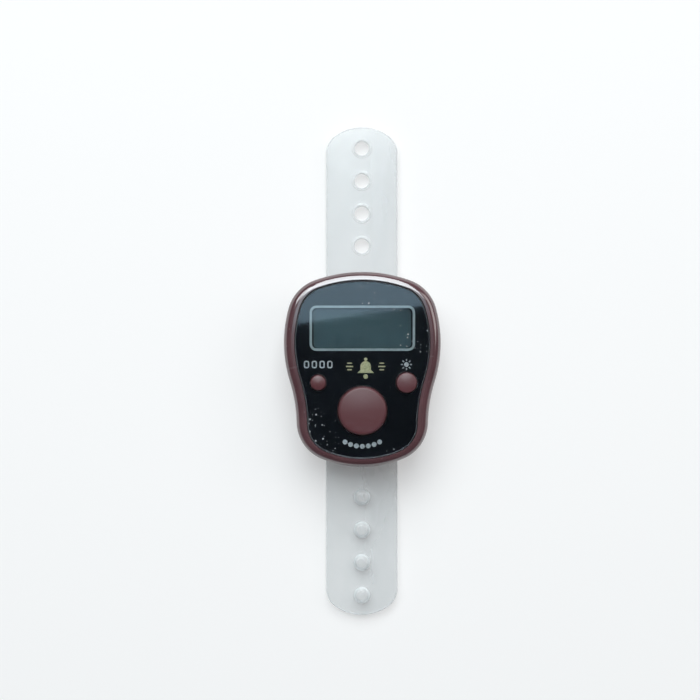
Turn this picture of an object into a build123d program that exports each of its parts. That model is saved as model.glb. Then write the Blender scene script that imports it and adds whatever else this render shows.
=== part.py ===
from build123d import *
from math import pi, sqrt
import os

# Finger tally counter lying on its back: +Z out of the face, +Y towards the display, millimetres.
# The origin is under the middle of the case, on the surface that the strap bridges rest on.

# Case outline seen from the front: arched crown, full cheeks, drawn-in flanks, round chin
case_width = 28.3
case_length = 35.2
crown_radius = 25.5
shoulder_radius = 7.5
cheek_radius = 23.5
cheek_height = 4.85
waist_radius = 26.8
flank_draw = 2.3
heel_radius = 7.2
chin_radius = 19.0

# Case walls and the joint between its two halves
case_wall = 1.3
back_wall = 1.1
deck_thickness = 0.9
back_edge_radius = 1.8
joint_line_height = 4.0
lip_height = 0.7
lip_thickness = 0.55
seam_edge = 0.15
fit_gap = 0.1

# Rim and face plate: the rim is narrower at the crown and the chin, by the stretch of the face
rim_width = 1.9
face_stretch = 0.4
rim_edge_radius = 1.4
rim_step = 0.2
lens_thickness = 1.0
lens_edge = 0.2
print_thickness = 0.12
bond_gap = 0.04

# Display stack: the window takes what the margins leave of the face
view_side_margin = 5.35
view_crown_margin = 6.75
view_chin_margin = 21.45
view_corner = 0.8
glass_margin = 1.0
contact_ledge = 2.0
glass_thickness = 0.55
polariser_thickness = 0.2
polariser_margin = 0.6
guide_thickness = 1.0
guide_inset = 1.2
frame_wall = 0.6
frame_headroom = 0.2
frame_shoulder_gap = 0.3
zebra_width = 1.5
zebra_end_inset = 0.4
deck_window_margin = 0.3
lamp_length = 1.6
lamp_depth = 0.9
lamp_height = 0.8

# Buttons
count_diameter = 8.8
count_proud = 1.1
count_crown = 0.3
count_edge = 0.6
count_rise = 10.2
reset_diameter = 2.8
reset_proud = 0.5
light_diameter = 3.7
light_proud = 0.75
small_crown = 0.25
small_edge = 0.3
side_button_edge = 6.2
side_button_rise = 15.25
button_gap = 0.2
flange_lip = 0.4
flange_thickness = 0.6
flange_play = 0.08
press_travel = 0.3
seat_play = 0.02

# Tactile switches under the buttons
count_switch_size = 5.2
side_switch_size = 4.0
switch_height = 1.1
switch_floor = 0.2
switch_roof = 0.3
switch_wall = 0.7
plunger_rise = 0.4
plunger_gap = 0.06
count_plunger_diameter = 2.6
side_plunger_diameter = 1.8
plunger_collar = 0.18
dome_sheet = 0.08
dome_flat = 0.5
dome_rim_gap = 0.08

# Circuit board and what it carries
board_thickness = 0.8
board_gap = 0.35
blob_radius = 2.8
blob_height = 1.1
chip_part_length = 1.6
chip_part_width = 0.8
chip_part_height = 0.35
chip_part_pitch = 1.5
chip_part_count = 4
chip_part_rise = 8.3

# Button cells and their contacts
cell_diameter = 7.9
cell_height = 3.6
cell_cap_height = 0.35
cell_cap_inset = 0.7
cell_crimp = 0.45
cell_spread = 9.2
cell_drop = 9.9
cell_play = 0.15
cell_rib_wall = 0.8
cell_rib_height = 1.8
contact_gap = 0.4
contact_sheet = 0.15
contact_width = 2.4
contact_foot = 1.6
contact_tip = 1.4
link_thickness = 0.2
link_width = 3.0
link_overhang = 1.5
link_slot_gap = 0.2

# Buzzer
buzzer_diameter = 10.0
buzzer_sheet = 0.2
ceramic_diameter = 7.2
ceramic_sheet = 0.2
buzzer_rise = 8.3
seat_height = 0.8
seat_wall = 1.1
seat_overhang = 0.3
lead_diameter = 0.5
lead_spread = 3.6
lead_flat = 0.9
lead_upright = 0.5
solder_gap = 0.02
brass_joint_gap = 0.3
ceramic_joint_reach = 1.2

# Screws
screw_edge = 2.6
screw_shank = 1.6
screw_gap = 0.05
screw_head = 2.8
screw_head_height = 1.0
screw_head_gap = 0.15
screw_head_bevel = 0.3
screw_tip = 0.4
screw_sink = 0.3
screw_length = 6.5
pillar_height = 1.6
pillar_wall = 0.75
boss_wall = 0.9
boss_tip_gap = 0.6
boss_board_gap = 0.25
board_screw_shank = 1.0
board_screw_head = 2.0
board_screw_head_height = 0.6
board_screw_length = 2.6
standoff_wall = 0.65
standoff_crown_spread = 10.0
standoff_crown_edge = 3.1
standoff_flank_edge = 3.2
recess_width = 0.45
recess_span = 0.62
recess_depth = 0.45

# Strap and the bridges that hold it
strap_width = 13.4
strap_length = 91.5
strap_draw = 0.45
strap_thickness = 1.0
strap_end_radius = 8.5
strap_corner_radius = 4.0
strap_edge = 0.25
strap_hole_diameter = 2.7
strap_pitch = 6.1
strap_end_margin = 4.0
strap_case_margin = 5.0
peg_neck_diameter = 2.3
peg_head_diameter = 3.1
peg_crest_diameter = 1.9
peg_neck_height = 1.0
peg_brim_height = 0.4
peg_head_height = 1.2
bridge_thickness = 1.0
bridge_length = 3.0
bridge_post = 1.5
bridge_spread = 18.0
bridge_edge = 0.4
strap_play = 0.15
strap_side_play = 0.25

# Levels, from the resting surface up to the face
back_z = bridge_thickness + strap_thickness + 2 * strap_play
floor_z = back_z + back_wall
joint_z = back_z + joint_line_height
cell_z = floor_z + link_thickness
board_z = cell_z + cell_height + contact_gap
board_top_z = board_z + board_thickness
guide_top_z = board_top_z + guide_thickness
rear_glass_z = guide_top_z + polariser_thickness
front_glass_z = rear_glass_z + glass_thickness
front_glass_top_z = front_glass_z + glass_thickness
deck_z = front_glass_top_z + polariser_thickness
deck_top_z = deck_z + deck_thickness
print_top_z = deck_top_z + print_thickness
lens_z = print_top_z + bond_gap
lens_top_z = lens_z + lens_thickness
rim_z = lens_top_z + rim_step
step_z = joint_z + lip_height + fit_gap


def toward(start, target, distance):
    return start + (target - start).normalized() * distance


def crossing(first, first_radius, second, second_radius):
    # Point at both distances, on the right of the way from the first centre to the second
    span = second - first
    along = (first_radius**2 - second_radius**2 + span.length**2) / (2 * span.length)
    across = sqrt(first_radius**2 - along**2)
    direction = span.normalized()
    right = Vector(direction.Y, -direction.X)
    return first + direction * along + right * across


half_width = case_width / 2
half_length = case_length / 2
half_flank = half_width - flank_draw

# Outline arcs: each pair of neighbours is tangent, so the outline can be drawn in by any amount
cheek_centre = Vector(half_width - cheek_radius, cheek_height)
waist_x = half_flank + waist_radius
waist_fall = sqrt((cheek_radius + waist_radius) ** 2 - (waist_x - cheek_centre.X) ** 2)
waist_centre = Vector(waist_x, cheek_centre.Y - waist_fall)


def crown_arcs(stretch=0.0):
    # Centres of the crown and of the shoulder beside it
    crown = Vector(0, half_length + stretch - crown_radius)
    shoulder_reach = crown_radius - shoulder_radius
    return crown, crossing(crown, shoulder_reach, cheek_centre, cheek_radius - shoulder_radius)


def chin_arcs(stretch=0.0):
    # Centres of the chin and of the heel beside it
    chin = Vector(0, chin_radius - half_length - stretch)
    heel_reach = chin_radius - heel_radius
    return chin, crossing(chin, heel_reach, waist_centre, waist_radius + heel_radius)


crown_centre, shoulder_centre = crown_arcs()
heel_centre = chin_arcs()[1]


def wall_rise(x):
    # Height of the inner wall, over the shoulder or further out over the cheek
    cheek_join = toward(cheek_centre, shoulder_centre, cheek_radius - case_wall)
    if x > cheek_join.X:
        return cheek_centre.Y + sqrt((cheek_radius - case_wall) ** 2 - (x - cheek_centre.X) ** 2)
    return shoulder_centre.Y + sqrt((shoulder_radius - case_wall) ** 2 - (x - shoulder_centre.X) ** 2)


# Places on the face: the display clears the crown and the shoulders, the buttons stand up from the chin
view_width = case_width - 2 * view_side_margin
glass_width = view_width + 2 * glass_margin
frame_width = glass_width + 2 * (fit_gap + frame_wall)
crown_limit = half_length - view_crown_margin
shoulder_limit = wall_rise(frame_width / 2) - frame_shoulder_gap - frame_wall - fit_gap - glass_margin
view_top = min(crown_limit, shoulder_limit)
view_height = view_top + half_length - view_chin_margin
window_corner = min(view_corner, view_height / 3)
display_y = view_top - view_height / 2
side_button_y = side_button_rise - half_length
count_y = count_rise - half_length
count_place = (0.0, count_y)
reset_place = (side_button_edge - half_width, side_button_y)
light_place = (half_width - side_button_edge, side_button_y)
cell_y = half_length - cell_drop
buzzer_y = buzzer_rise - half_length
seat_z = floor_z + seat_height
plate_top_z = seat_z + buzzer_sheet
ceramic_top_z = plate_top_z + ceramic_sheet
glass_top_y = display_y + view_height / 2 + glass_margin
ledge_y = display_y - view_height / 2 - glass_margin
glass_low_y = ledge_y - contact_ledge
button_sizes = [
    (count_place, count_diameter),
    (reset_place, reset_diameter),
    (light_place, light_diameter),
]


def arc(centre, start, end):
    # Arc of under a half circle about a centre
    radius = (start - centre).length
    middle = centre + ((start - centre) + (end - centre)).normalized() * radius
    return ThreePointArc(start, middle, end)


def case_face(inset=0.0, stretch=0.0):
    # Case outline drawn in by an even amount, less the stretch at the crown and the chin, as a flat face
    crown_middle, shoulder_middle = crown_arcs(stretch)
    chin_middle, heel_middle = chin_arcs(stretch)
    crown_join = toward(crown_middle, shoulder_middle, crown_radius - inset)
    cheek_join = toward(cheek_centre, shoulder_middle, cheek_radius - inset)
    waist_join = toward(cheek_centre, waist_centre, cheek_radius - inset)
    heel_join = toward(waist_centre, heel_middle, waist_radius + inset)
    chin_join = toward(chin_middle, heel_middle, chin_radius - inset)
    right = [
        arc(shoulder_middle, crown_join, cheek_join),
        arc(cheek_centre, cheek_join, waist_join),
        arc(waist_centre, waist_join, heel_join),
        arc(heel_middle, heel_join, chin_join),
    ]
    left = [mirror(edge, about=Plane.YZ) for edge in right]
    crown = arc(crown_middle, Vector(-crown_join.X, crown_join.Y), crown_join)
    chin = arc(chin_middle, chin_join, Vector(-chin_join.X, chin_join.Y))
    return make_face(Curve() + right + left + [crown, chin])


def slab(face, low, high):
    return extrude(Pos(0, 0, low) * face, amount=high - low)


def rod(place, radius, low, high):
    return Pos(place[0], place[1], low) * slab(Circle(radius), 0, high - low)


def turned(face):
    # Solid of revolution about Z from a face drawn in radius and height
    return revolve(Plane.XZ * face, Axis.Z)


def crown_arc(radius, rise, base):
    # Half of a shallow spherical crown, from its rim to its top
    sphere_radius = (radius**2 + rise**2) / (2 * rise)
    middle_x = radius / 2
    middle_z = base + rise - sphere_radius + sqrt(sphere_radius**2 - middle_x**2)
    return ThreePointArc((radius, base), (middle_x, middle_z), (0, base + rise))


def block(x, y, low, high, width, length):
    return Pos(x, y, 0) * slab(Rectangle(width, length), low, high)


def both_sides(x, y):
    return [(-x, y), (x, y)]


# Places of the screws: one under the crown and two in the heels, and four that hold the board
heel_screw_reach = (heel_radius - screw_edge) * sqrt(0.5)
case_screw_places = [(0.0, half_length - screw_edge)]
case_screw_places += both_sides(heel_centre.X + heel_screw_reach, heel_centre.Y - heel_screw_reach)
standoff_x = standoff_crown_spread / 2
standoff_rise = sqrt((crown_radius - standoff_crown_edge) ** 2 - standoff_x**2)
board_screw_places = both_sides(standoff_x, crown_centre.Y + standoff_rise)
board_screw_places += both_sides(half_flank - standoff_flank_edge, count_y)
head_hole_radius = screw_head / 2 + screw_head_gap
head_seat_z = back_z + screw_sink + screw_head_height
pillar_z = floor_z + pillar_height
boss_radius = screw_shank / 2 + boss_wall
standoff_radius = board_screw_shank / 2 + standoff_wall
lip_inset = case_wall - lip_thickness


def button_holes():
    holes = Sketch()
    for place, diameter in button_sizes:
        holes += Pos(*place) * Circle(diameter / 2 + button_gap)
    return holes


def front_shell():
    # Outer skin with a rounded rim and a soft edge at the joint line, open below the deck
    shell = slab(case_face(), joint_z, rim_z)
    shell = fillet(shell.edges().group_by(Axis.Z)[-1], rim_edge_radius)
    shell = chamfer(shell.edges().group_by(Axis.Z)[0], seam_edge)
    shell -= slab(case_face(rim_width, face_stretch), deck_top_z, rim_z)
    shell -= slab(case_face(case_wall), joint_z, deck_z)
    # Step that takes the rear cover's lip
    shell -= slab(case_face(lip_inset - fit_gap), joint_z, step_z)
    # Bosses for the case screws, cut flat beside the rear cover's wall, and standoffs for the board
    core = slab(case_face(case_wall + fit_gap), pillar_z, step_z)
    for place in case_screw_places:
        shell += rod(place, boss_radius, step_z, deck_z)
        shell += rod(place, boss_radius, pillar_z, step_z) & core
    for place in board_screw_places:
        shell += rod(place, standoff_radius, board_top_z, deck_z)
    # Pilot holes, display window and button holes
    for place in case_screw_places:
        tip_z = head_seat_z + screw_length + boss_tip_gap
        shell -= rod(place, screw_shank / 2 + screw_gap, pillar_z, tip_z)
    for place in board_screw_places:
        tip_z = board_z + board_screw_length
        shell -= rod(place, board_screw_shank / 2 + screw_gap, board_top_z, tip_z)
    margin = 2 * deck_window_margin
    opening = RectangleRounded(view_width + margin, view_height + margin, window_corner)
    shell -= slab(Pos(0, display_y) * opening, deck_z, deck_top_z)
    shell -= slab(button_holes(), deck_z, deck_top_z)
    return shell


def strap_bridge(y):
    # Belt loop under the back: two posts and a bar with soft edges
    half_tunnel = strap_width / 2 + strap_side_play
    bar_width = 2 * (half_tunnel + bridge_post)
    loop = block(0, y, 0, floor_z - back_wall / 2, bar_width, bridge_length)
    loop = chamfer(loop.edges().filter_by(Axis.Z), bridge_edge)
    loop = chamfer(loop.edges().group_by(Axis.Z)[0], bridge_edge)
    return loop - block(0, y, bridge_thickness, back_z, 2 * half_tunnel, 2 * bridge_length)


def cell_ribs():
    # Ring walls round the two cells, with a gap for the link strip
    outer = cell_diameter / 2 + cell_play + cell_rib_wall
    ribs = Part()
    for place in both_sides(cell_spread / 2, cell_y):
        ribs += rod(place, outer, floor_z, floor_z + cell_rib_height)
    for place in both_sides(cell_spread / 2, cell_y):
        ribs -= rod(place, cell_diameter / 2 + cell_play, floor_z, floor_z + cell_rib_height)
    slot = link_width + 2 * link_slot_gap
    return ribs - block(0, cell_y, floor_z, floor_z + cell_rib_height, cell_spread, slot)


def buzzer_seat():
    outer = buzzer_diameter / 2 + seat_overhang
    ring = rod((0, buzzer_y), outer, floor_z, seat_z)
    return ring - rod((0, buzzer_y), outer - seat_wall, floor_z, seat_z)


def rear_cover():
    cover = slab(case_face(), back_z, joint_z)
    cover = fillet(cover.edges().group_by(Axis.Z)[0], back_edge_radius)
    cover = chamfer(cover.edges().group_by(Axis.Z)[-1], seam_edge)
    cover -= slab(case_face(case_wall), floor_z, joint_z)
    lip = slab(case_face(lip_inset), joint_z, joint_z + lip_height)
    lip -= slab(case_face(case_wall), joint_z, joint_z + lip_height)
    cover += lip
    for place in case_screw_places:
        cover += rod(place, head_hole_radius + pillar_wall, floor_z, pillar_z)
    cover += cell_ribs()
    cover += buzzer_seat()
    for y in (-bridge_spread / 2, bridge_spread / 2):
        cover += strap_bridge(y)
    for place in case_screw_places:
        cover -= rod(place, head_hole_radius, back_z, head_seat_z)
        cover -= rod(place, screw_shank / 2 + screw_gap, head_seat_z, pillar_z)
    return cover


def face_lens():
    lens = slab(case_face(rim_width + fit_gap, face_stretch), lens_z, lens_top_z)
    lens = chamfer(lens.edges().group_by(Axis.Z)[-1], lens_edge)
    return lens - slab(button_holes(), lens_z, lens_top_z)


def face_print():
    film = case_face(rim_width + fit_gap, face_stretch) - button_holes()
    film -= Pos(0, display_y) * RectangleRounded(view_width, view_height, window_corner)
    return slab(film, deck_top_z, print_top_z)


def button(place, diameter, proud, crown, edge, plunger_diameter):
    # Crowned cap, retaining flange under the deck and a nub on the switch plunger
    radius = diameter / 2
    nub_radius = plunger_diameter / 2
    flange_radius = radius + flange_lip
    flange_top = deck_z - flange_play
    flange_low = flange_top - flange_thickness
    nub_low = board_top_z + switch_height + plunger_rise + seat_play
    edge_z = lens_top_z + proud - crown
    side = Polyline(
        (0, edge_z + crown),
        (0, nub_low),
        (nub_radius, nub_low),
        (nub_radius, flange_low),
        (flange_radius, flange_low),
        (flange_radius, flange_top),
        (radius, flange_top),
        (radius, edge_z),
    )
    section = make_face(Curve() + [side, crown_arc(radius, crown, edge_z)])
    corner = section.vertices().sort_by_distance((radius, edge_z))[0]
    return Pos(*place) * turned(fillet(corner, edge))


def switch_body(place, size, plunger_diameter):
    # Square housing with a dome chamber and a round opening in its roof
    low = board_top_z
    high = board_top_z + switch_height
    housing = slab(RectangleRounded(size, size, switch_wall / 2), low, high)
    chamber = size / 2 - switch_wall
    housing -= rod((0, 0), chamber, low + switch_floor, high - switch_roof)
    housing -= rod((0, 0), plunger_diameter / 2 + plunger_gap, high - switch_roof, high)
    return Pos(*place) * housing


def switch_plunger(place, size, plunger_diameter):
    low = board_top_z + switch_floor + press_travel + dome_sheet + seat_play
    high = board_top_z + switch_height
    collar_radius = size / 2 - switch_wall - dome_rim_gap
    plunger = rod((0, 0), plunger_diameter / 2, low, high + plunger_rise)
    return Pos(*place) * (plunger + rod((0, 0), collar_radius, low, low + plunger_collar))


def switch_dome(place, size):
    # Sprung dish with a flat crest, standing on its rim
    radius = size / 2 - switch_wall - dome_rim_gap
    base = board_top_z + switch_floor
    top = base + press_travel
    under = [(0, top), (dome_flat, top), (radius - dome_sheet, base)]
    over = [(radius, base), (radius, base + dome_sheet), (dome_flat, top + dome_sheet), (0, top + dome_sheet)]
    return Pos(*place) * turned(make_face(Polyline(under + over, close=True)))


def screw(place, seat, shank, head, head_height, length):
    # Pan-headed screw driven upwards, with a pointed tip and a cross recess in its head
    low = seat - head_height
    high = seat + length
    outline = [
        (0, low),
        (head / 2 - screw_head_bevel, low),
        (head / 2, low + screw_head_bevel),
        (head / 2, seat),
        (shank / 2, seat),
        (shank / 2, high - screw_tip),
        (0, high),
    ]
    fastener = turned(make_face(Polyline(outline, close=True)))
    span = head * recess_span
    recess = Rectangle(span, recess_width) + Rectangle(recess_width, span)
    return Pos(*place) * (fastener - slab(recess, low, low + recess_depth))


def case_screws():
    seat = head_seat_z
    sizes = (screw_shank, screw_head, screw_head_height, screw_length)
    return [screw(place, seat, *sizes) for place in case_screw_places]


def board_screws():
    sizes = (board_screw_shank, board_screw_head, board_screw_head_height, board_screw_length)
    return [screw(place, board_z, *sizes) for place in board_screw_places]


def circuit_board():
    face = case_face(case_wall + board_gap)
    for place in case_screw_places:
        face -= Pos(*place) * Circle(boss_radius + boss_board_gap)
    for place in board_screw_places:
        face -= Pos(*place) * Circle(board_screw_shank / 2 + screw_gap)
    return slab(face, board_z, board_top_z)


def controller_chip():
    # Drop of potting over the bonded die, under the board
    base = Polyline((0, blob_height), (0, 0), (blob_radius, 0))
    drop = turned(make_face(Curve() + [base, crown_arc(blob_radius, blob_height, 0)]))
    return Pos(0, buzzer_y, board_z) * (Rot(180, 0, 0) * drop)


def board_components():
    # Row of chip resistors and capacitors under the board
    first = -chip_part_pitch * (chip_part_count - 1) / 2
    y = buzzer_y + chip_part_rise
    parts = []
    for index in range(chip_part_count):
        x = first + index * chip_part_pitch
        parts.append(block(x, y, board_z - chip_part_height, board_z, chip_part_width, chip_part_length))
    return parts


def glass_plate(low_y, low, high, margin=0.0):
    length = glass_top_y - low_y - 2 * margin
    middle = (glass_top_y + low_y) / 2
    return block(0, middle, low, high, glass_width - 2 * margin, length)


def light_guide():
    middle = (glass_top_y + ledge_y) / 2
    length = glass_top_y - ledge_y
    return block(0, middle, board_top_z, guide_top_z, glass_width - 2 * guide_inset, length)


def backlight_leds():
    # One side-shining lamp at each end of the light guide
    x = glass_width / 2 - guide_inset + fit_gap + lamp_depth / 2
    y = (glass_top_y + ledge_y) / 2
    top = board_top_z + lamp_height
    return [block(px, py, board_top_z, top, lamp_depth, lamp_length) for px, py in both_sides(x, y)]


def display_frame():
    # Open frame round the glass, light guide and connector
    middle = (glass_top_y + glass_low_y) / 2
    inner_width = glass_width + 2 * fit_gap
    inner_length = glass_top_y - glass_low_y + 2 * fit_gap
    outer = Rectangle(frame_width, inner_length + 2 * frame_wall)
    ring = outer - Rectangle(inner_width, inner_length)
    return slab(Pos(0, middle) * ring, board_top_z, deck_z - frame_headroom)


def zebra_connector():
    middle = (ledge_y + glass_low_y) / 2
    length = glass_width - 2 * zebra_end_inset
    return block(0, middle, board_top_z, front_glass_z, length, zebra_width)


def button_cell(place, cap_up):
    # Can with a crimped shoulder and the smaller cap above it
    radius = cell_diameter / 2
    can = cell_height - cell_cap_height
    cap_radius = radius - cell_cap_inset
    profile = [
        (0, 0),
        (radius, 0),
        (radius, can - cell_crimp),
        (radius - cell_crimp, can),
        (cap_radius, can),
        (cap_radius, cell_height),
        (0, cell_height),
    ]
    cell = turned(make_face(Polyline(profile, close=True)))
    if not cap_up:
        cell = Pos(0, 0, cell_height) * (Rot(180, 0, 0) * cell)
    return Pos(place[0], place[1], cell_z) * cell


def battery_link():
    strip = SlotOverall(cell_spread + 2 * link_overhang, link_width)
    return slab(Pos(0, cell_y) * strip, floor_z, cell_z)


def spring_contact(x):
    # Leaf soldered under the board, bent down onto the cell's upper face
    foot_reach = cell_diameter / 2 + cell_play
    cell_top = cell_z + cell_height
    heights = [board_z - contact_sheet, board_z - contact_sheet, cell_top, cell_top + contact_gap / 2]
    reaches = [-foot_reach - contact_foot, -foot_reach, 0, contact_tip]
    lower = list(zip(reaches, heights))
    upper = [(y, z + contact_sheet) for y, z in reversed(lower)]
    leaf = make_face(Polyline(lower + upper, close=True))
    strip = extrude(Plane.YZ * leaf, amount=contact_width / 2, both=True)
    return Pos(x, cell_y, 0) * strip


def buzzer_lead(x, joint_y, surface_z):
    # Lead soldered flat on the disc, turning up to the board in one bend
    radius = lead_diameter / 2
    low = surface_z + solder_gap + radius
    bend = board_z - lead_upright - low
    pad_y = joint_y + lead_flat + bend
    path = FilletPolyline((x, joint_y, low), (x, pad_y, low), (x, pad_y, board_z), radius=bend)
    section = Plane(origin=(x, joint_y, low), z_dir=(0, 1, 0)) * Circle(radius)
    lead = sweep(section, path=path)
    share = lead.volume / (path.length * pi * radius**2)
    print("lead bend", round(bend, 2), "mm, volume over section times length", round(share, 4))
    return lead


def buzzer_leads():
    x = lead_spread / 2
    brass_y = buzzer_y + sqrt((ceramic_diameter / 2) ** 2 - x**2) + brass_joint_gap
    ceramic_y = buzzer_y + ceramic_joint_reach
    return [buzzer_lead(x, brass_y, plate_top_z), buzzer_lead(-x, ceramic_y, ceramic_top_z)]


def strap_face():
    # Strap outline: straight sides and softly arched ends
    half = strap_width / 2
    end_centre = Vector(0, strap_length / 2 - strap_end_radius)
    corner_x = half - strap_corner_radius
    rise = sqrt((strap_end_radius - strap_corner_radius) ** 2 - corner_x**2)
    corner_centre = Vector(corner_x, end_centre.Y + rise)
    side_end = Vector(half, corner_centre.Y)
    join = toward(end_centre, corner_centre, strap_end_radius)
    corner = arc(corner_centre, side_end, join)
    corners = [corner, mirror(corner, about=Plane.YZ)]
    corners += [mirror(edge, about=Plane.XZ) for edge in corners]
    end = arc(end_centre, join, Vector(-join.X, join.Y))
    side = Line(Vector(half, -corner_centre.Y), side_end)
    edges = corners + [end, mirror(end, about=Plane.XZ), side, mirror(side, about=Plane.YZ)]
    return make_face(Curve() + edges)


def peg(y, low):
    # Stud with a neck and a tapered head that pops through a hole
    neck = peg_neck_diameter / 2
    head = peg_head_diameter / 2
    head_low = low + peg_neck_height
    head_top = head_low + peg_head_height
    outline = [
        (0, low),
        (neck, low),
        (neck, head_low),
        (head, head_low),
        (head, head_low + peg_brim_height),
        (peg_crest_diameter / 2, head_top),
        (0, head_top),
    ]
    return Pos(0, y, 0) * turned(make_face(Polyline(outline, close=True)))


def fastening_places():
    # As many as each tail has room for, from its end back towards the case
    last = strap_length / 2 - strap_end_margin
    room = last - half_length - strap_case_margin
    return [last - index * strap_pitch for index in range(int(room / strap_pitch) + 1)]


def strap():
    # Drawn a little way through the bridges towards its studs
    low = bridge_thickness + strap_play
    high = low + strap_thickness
    band = slab(strap_face(), low, high)
    band = chamfer(band.edges().group_by(Axis.Z)[0] + band.edges().group_by(Axis.Z)[-1], strap_edge)
    for y in fastening_places():
        band -= rod((0, y), strap_hole_diameter / 2, low, high)
        band += peg(-y, high)
    return Pos(0, -strap_draw, 0) * band


count_switch = (count_place, count_switch_size, count_plunger_diameter)
reset_switch = (reset_place, side_switch_size, side_plunger_diameter)
light_switch = (light_place, side_switch_size, side_plunger_diameter)
buzzer_place = (0.0, buzzer_y)
cell_left, cell_right = both_sides(cell_spread / 2, cell_y)

nodes = {
    "front_shell": front_shell(),
    "rear_cover": rear_cover(),
    "face_lens": face_lens(),
    "face_print": face_print(),
    "count_button": button(
        count_place, count_diameter, count_proud, count_crown, count_edge, count_plunger_diameter
    ),
    "reset_button": button(
        reset_place, reset_diameter, reset_proud, small_crown, small_edge, side_plunger_diameter
    ),
    "light_button": button(
        light_place, light_diameter, light_proud, small_crown, small_edge, side_plunger_diameter
    ),
    "strap": strap(),
    "case_screws": case_screws(),
    "board_screws": board_screws(),
    "circuit_board": circuit_board(),
    "controller_chip": controller_chip(),
    "board_components": board_components(),
    "display_frame": display_frame(),
    "lcd_front_polariser": glass_plate(ledge_y, front_glass_top_z, deck_z, polariser_margin),
    "lcd_front_glass": glass_plate(glass_low_y, front_glass_z, front_glass_top_z),
    "lcd_rear_glass": glass_plate(ledge_y, rear_glass_z, front_glass_z),
    "lcd_rear_polariser": glass_plate(ledge_y, guide_top_z, rear_glass_z, polariser_margin),
    "light_guide": light_guide(),
    "backlight_leds": backlight_leds(),
    "zebra_connector": zebra_connector(),
    "count_switch": switch_body(*count_switch),
    "count_plunger": switch_plunger(*count_switch),
    "count_dome": switch_dome(count_place, count_switch_size),
    "reset_switch": switch_body(*reset_switch),
    "reset_plunger": switch_plunger(*reset_switch),
    "reset_dome": switch_dome(reset_place, side_switch_size),
    "light_switch": switch_body(*light_switch),
    "light_plunger": switch_plunger(*light_switch),
    "light_dome": switch_dome(light_place, side_switch_size),
    "battery_left": button_cell(cell_left, True),
    "battery_right": button_cell(cell_right, False),
    "battery_link": battery_link(),
    "positive_contact": spring_contact(cell_spread / 2),
    "negative_contact": spring_contact(-cell_spread / 2),
    "buzzer_plate": rod(buzzer_place, buzzer_diameter / 2, seat_z, plate_top_z),
    "buzzer_ceramic": rod(buzzer_place, ceramic_diameter / 2, plate_top_z, ceramic_top_z),
    "buzzer_leads": buzzer_leads(),
}

os.makedirs("parts", exist_ok=True)
for name, shape in nodes.items():
    pieces = shape if isinstance(shape, list) else [shape]
    solids = [solid for one in pieces for solid in one.solids()]
    export_step(Compound(children=solids), f"parts/{name}.step")
print(len(nodes), "nodes, case", case_width, "x", case_length, "x", round(rim_z, 2), "mm")
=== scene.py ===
import math
import bmesh
import bpy
from mathutils import Matrix, Vector


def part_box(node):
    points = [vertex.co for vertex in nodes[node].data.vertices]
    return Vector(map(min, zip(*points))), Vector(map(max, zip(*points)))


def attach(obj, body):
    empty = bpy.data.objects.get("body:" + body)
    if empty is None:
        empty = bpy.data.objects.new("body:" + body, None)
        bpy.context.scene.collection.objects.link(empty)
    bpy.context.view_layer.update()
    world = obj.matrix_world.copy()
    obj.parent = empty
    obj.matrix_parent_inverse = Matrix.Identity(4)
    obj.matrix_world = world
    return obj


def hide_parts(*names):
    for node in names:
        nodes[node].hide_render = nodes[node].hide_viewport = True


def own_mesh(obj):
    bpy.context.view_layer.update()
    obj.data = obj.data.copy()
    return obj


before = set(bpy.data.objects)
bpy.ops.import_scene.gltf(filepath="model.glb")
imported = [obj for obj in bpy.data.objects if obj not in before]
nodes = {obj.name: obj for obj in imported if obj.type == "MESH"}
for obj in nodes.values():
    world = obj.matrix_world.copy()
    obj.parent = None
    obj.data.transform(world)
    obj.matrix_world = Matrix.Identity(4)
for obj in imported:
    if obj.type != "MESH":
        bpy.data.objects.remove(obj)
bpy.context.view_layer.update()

mm = 0.001
keys = ("count", "reset", "light")
print("frame loaded with", len(nodes), "nodes")


# shader kit: sums on sockets, and one way to make a node

noiseReach = (0.3, 0.7)  # where most of a noise lies
stainReach = (0.35, 0.7)
white = (1, 1, 1, 1)


class Wire:
    def __init__(self, shader, out):
        self.shader = shader
        self.out = out

    def __add__(self, other):
        return self.shader.calc("ADD", self, other)

    def __sub__(self, other):
        return self.shader.calc("SUBTRACT", self, other)

    def __rsub__(self, other):
        return self.shader.calc("SUBTRACT", other, self)

    def __mul__(self, other):
        return self.shader.calc("MULTIPLY", self, other)

    def __gt__(self, other):
        return self.shader.calc("GREATER_THAN", self, other)

    def __lt__(self, other):
        return self.shader.calc("LESS_THAN", self, other)

    __radd__ = __add__
    __rmul__ = __mul__


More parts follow.
